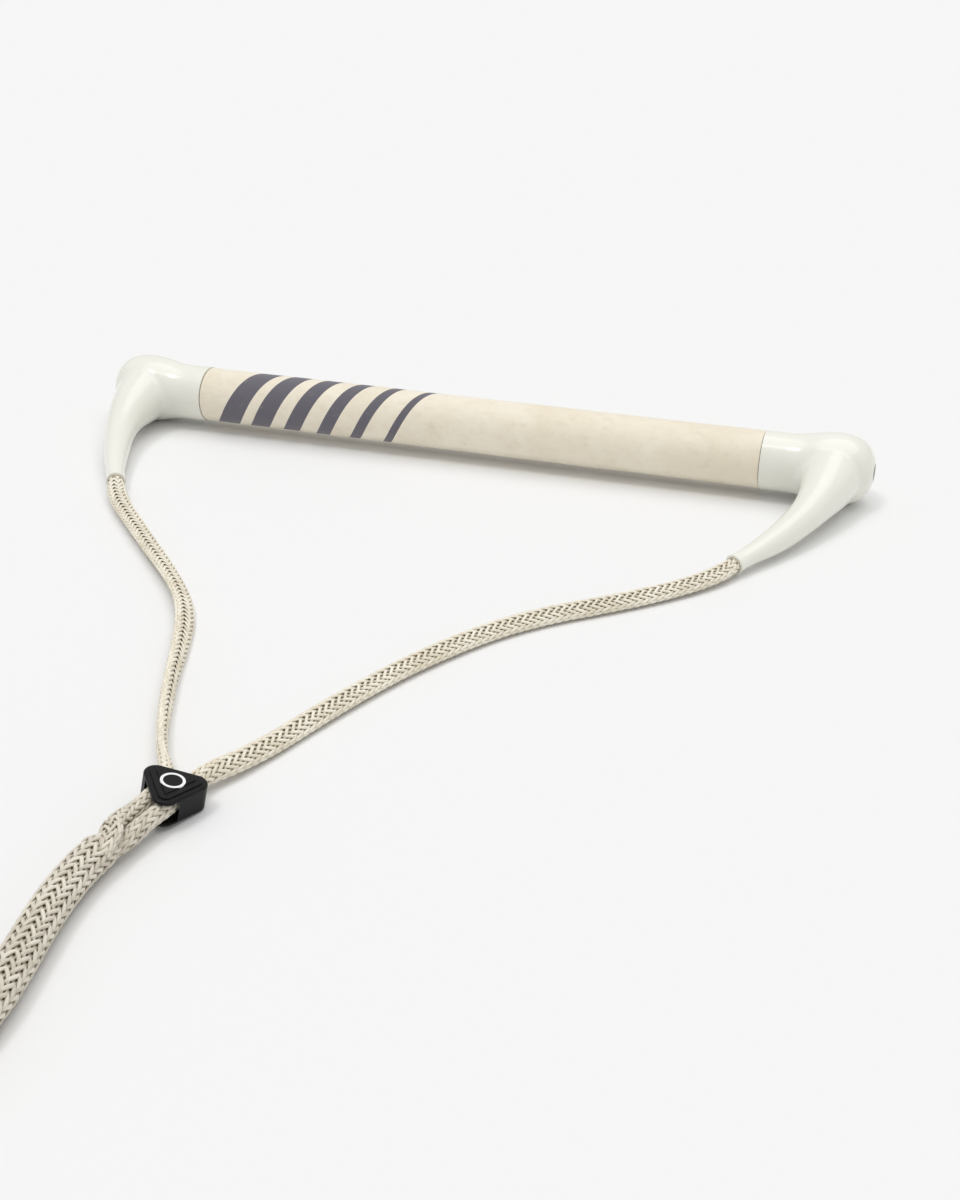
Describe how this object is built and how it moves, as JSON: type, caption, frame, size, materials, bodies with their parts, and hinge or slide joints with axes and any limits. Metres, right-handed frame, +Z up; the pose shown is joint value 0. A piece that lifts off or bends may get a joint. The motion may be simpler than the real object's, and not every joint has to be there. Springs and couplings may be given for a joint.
{
  "type": "tow rope handle",
  "caption": "Straight wakeboard tow handle with suede grip, moulded horn-shaped end caps, braided rope bridle with sliding rubber keeper, and a coiled tow line ending in an eye.",
  "frame": {"origin": "on the floor, under the middle of the handle's own box (bar, grip, caps), ropes left out", "axes": "+X along the bar, +Z up from the floor that the handle lies on, -Y towards the tow line"},
  "size_m": [0.3804, 0.5748, 0.0328],
  "materials": {
    "tube_metal": "brushed",
    "closed_cell_foam": "fine closed-cell foam",
    "bush_nylon": "smooth nylon",
    "grip_foam": "soft foam",
    "suede": "napped microfibre suede, faintly mottled, with a pale grey-printed stripe panel",
    "cap_plastic": "glossy moulded plastic",
    "plug_rubber": "matt",
    "bridle_rope": "twelve-strand hollow braid",
    "keeper_rubber": "satin moulded rubber",
    "ring_white": "satin white inlay",
    "tow_rope": "interlaced hollow braid",
    "tie_webbing": "hook-and-loop strap",
    "whipping_twine": "tight wound twine"
  },
  "bodies": {
    "handle": {"bar_tube": "tube_metal", "float_core": "closed_cell_foam", "left_bar_bush": "bush_nylon", "right_bar_bush": "bush_nylon", "grip_foam": "grip_foam", "grip_wrap": "suede", "left_end_cap": "cap_plastic", "right_end_cap": "cap_plastic", "left_end_plug": "plug_rubber", "right_end_plug": "plug_rubber", "bar_rope": "bridle_rope", "left_leg": "bridle_rope", "right_leg": "bridle_rope", "splice": "tow_rope", "tow_line": "tow_rope", "tow_line_coil": "tow_rope", "coil_tie": "tie_webbing", "tow_line_end": "tow_rope", "eye_whipping": "whipping_twine", "tow_eye": "bridle_rope"},
    "keeper": {"bridle_keeper": "keeper_rubber", "keeper_ring": "ring_white"}
  },
  "joints": [
    {"name": "keeper_slide", "type": "slide", "parent": "handle", "child": "keeper", "axis": [-0.165, 0.9863, 0], "range_m": [0, 0.003]}
  ]
}
